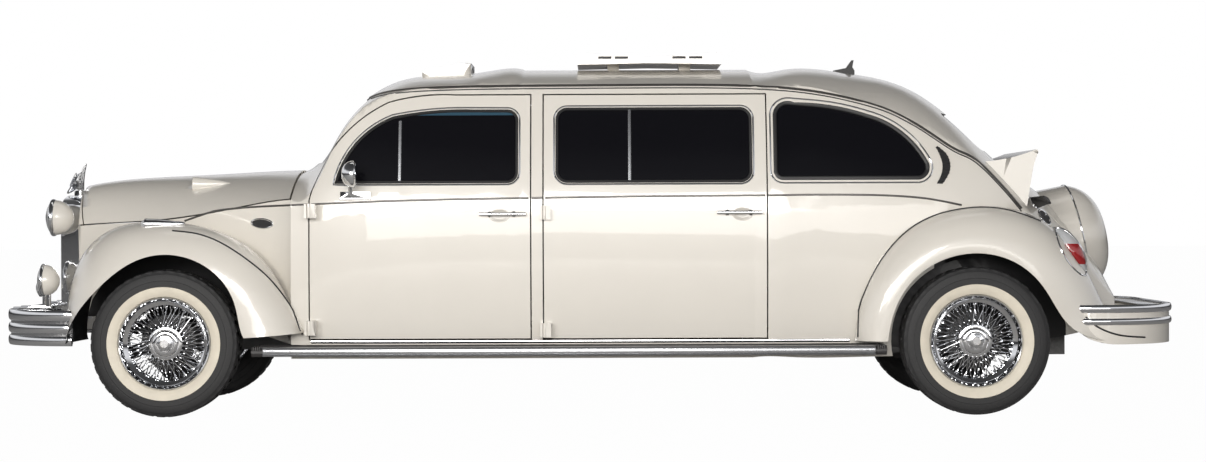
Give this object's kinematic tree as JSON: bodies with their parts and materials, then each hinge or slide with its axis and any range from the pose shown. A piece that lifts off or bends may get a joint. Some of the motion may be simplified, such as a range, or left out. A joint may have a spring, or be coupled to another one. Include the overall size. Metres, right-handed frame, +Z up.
{
  "type": "stretched classic limousine",
  "caption": "Long white classic limousine with four doors, separate fenders, wire wheels, whitewall tyres and a round tail.",
  "frame": {"origin": "on the floor under the middle of the overall box", "axes": "+X rearward, +Y to the car's right, +Z up"},
  "size_m": [5.1889, 1.588, 1.5979],
  "materials": {
    "body_paint": "gloss",
    "bright_chrome": "polished",
    "tinted_glass": "gloss",
    "lamp_lens": "gloss",
    "black_steel": "satin",
    "cast_engine": "satin",
    "tyre_rubber": "matte",
    "board_rubber": "satin",
    "seat_trim": "satin",
    "dark_plastic": "satin"
  },
  "bodies": {
    "car": {"roof": "body_paint", "body_sides": "body_paint", "cowl": "body_paint", "tail": "body_paint", "front_tub": "body_paint", "spoiler": "body_paint", "front_fenders": "body_paint", "rear_fenders": "body_paint", "rear_valance": "body_paint", "roof_pod": "body_paint", "hinge_leaves": "body_paint", "front_bumper": "bright_chrome", "rear_bumper": "bright_chrome", "grille": "bright_chrome", "ornament": "bright_chrome", "headlamps": "bright_chrome", "bumper_lamps": "bright_chrome", "fender_lamps": "bright_chrome", "roof_fittings": "bright_chrome", "fixed_glass": "tinted_glass", "tail_lamps": "lamp_lens", "floor_pan": "black_steel", "front_axle_beam": "black_steel", "rear_axle": "black_steel", "wheelhouses": "black_steel", "engine": "cast_engine", "running_boards": "board_rubber", "seats": "seat_trim", "dashboard": "dark_plastic"},
    "knuckle_left": {"knuckle_left": "black_steel"},
    "knuckle_right": {"knuckle_right": "black_steel"},
    "wheel_front_left": {"wheel_front_left": "bright_chrome", "tyre_front_left": "tyre_rubber"},
    "wheel_front_right": {"wheel_front_right": "bright_chrome", "tyre_front_right": "tyre_rubber"},
    "wheel_rear_left": {"wheel_rear_left": "bright_chrome", "tyre_rear_left": "tyre_rubber"},
    "wheel_rear_right": {"wheel_rear_right": "bright_chrome", "tyre_rear_right": "tyre_rubber"},
    "door_front_left": {"door_front_left": "body_paint", "door_front_trim_left": "bright_chrome", "door_front_glass_left": "tinted_glass"},
    "door_front_right": {"door_front_right": "body_paint", "door_front_trim_right": "bright_chrome", "door_front_glass_right": "tinted_glass"},
    "door_rear_left": {"door_rear_left": "body_paint", "door_rear_trim_left": "bright_chrome", "door_rear_glass_left": "tinted_glass"},
    "door_rear_right": {"door_rear_right": "body_paint", "door_rear_trim_right": "bright_chrome", "door_rear_glass_right": "tinted_glass"},
    "hood": {"hood": "body_paint"},
    "engine_lid": {"engine_lid": "body_paint"},
    "steering_wheel": {"steering_wheel": "dark_plastic"}
  },
  "joints": [
    {"name": "steer_left", "type": "hinge", "parent": "car", "child": "knuckle_left", "pos_m": [-1.845, -0.63, 0.319], "axis": [0, 0, 1], "range_deg": [-28, 28]},
    {"name": "steer_right", "type": "hinge", "parent": "car", "child": "knuckle_right", "pos_m": [-1.845, 0.63, 0.319], "axis": [0, 0, 1], "range_deg": [-28, 28]},
    {"name": "steering_wheel_turn", "type": "hinge", "parent": "car", "child": "steering_wheel", "pos_m": [-0.96, -0.33, 0.93], "axis": [0.8191, 0, 0.5736], "range_deg": [-405, 405]},
    {"name": "roll_front_left", "type": "hinge", "parent": "knuckle_left", "child": "wheel_front_left", "pos_m": [-1.845, -0.655, 0.319], "axis": [0, 1, 0], "continuous": true},
    {"name": "roll_front_right", "type": "hinge", "parent": "knuckle_right", "child": "wheel_front_right", "pos_m": [-1.845, 0.655, 0.319], "axis": [0, 1, 0], "continuous": true},
    {"name": "roll_rear_left", "type": "hinge", "parent": "car", "child": "wheel_rear_left", "pos_m": [1.655, -0.675, 0.319], "axis": [0, 1, 0], "continuous": true},
    {"name": "roll_rear_right", "type": "hinge", "parent": "car", "child": "wheel_rear_right", "pos_m": [1.655, 0.675, 0.319], "axis": [0, 1, 0], "continuous": true},
    {"name": "door_front_left_swing", "type": "hinge", "parent": "car", "child": "door_front_left", "pos_m": [-1.226, -0.676, 0.85], "axis": [0, 0, -1], "range_deg": [0, 65]},
    {"name": "door_front_right_swing", "type": "hinge", "parent": "car", "child": "door_front_right", "pos_m": [-1.226, 0.676, 0.85], "axis": [0, 0, 1], "range_deg": [0, 65]},
    {"name": "door_rear_left_swing", "type": "hinge", "parent": "car", "child": "door_rear_left", "pos_m": [-0.205, -0.676, 0.85], "axis": [0, 0, -1], "range_deg": [0, 65]},
    {"name": "door_rear_right_swing", "type": "hinge", "parent": "car", "child": "door_rear_right", "pos_m": [-0.205, 0.676, 0.85], "axis": [0, 0, 1], "range_deg": [0, 65]},
    {"name": "hood_lift", "type": "hinge", "parent": "car", "child": "hood", "pos_m": [-1.316, 0, 1.07442], "axis": [0, 1, 0], "range_deg": [0, 50]},
    {"name": "engine_lid_lift", "type": "hinge", "parent": "car", "child": "engine_lid", "pos_m": [1.97245, 0, 1.011], "axis": [0, -1, 0], "range_deg": [0, 60]}
  ],
  "couplings": [
    {"joint": "steer_right", "follows": "steer_left", "ratio": 1},
    {"joint": "steering_wheel_turn", "follows": "steer_left", "ratio": 14}
  ]
}
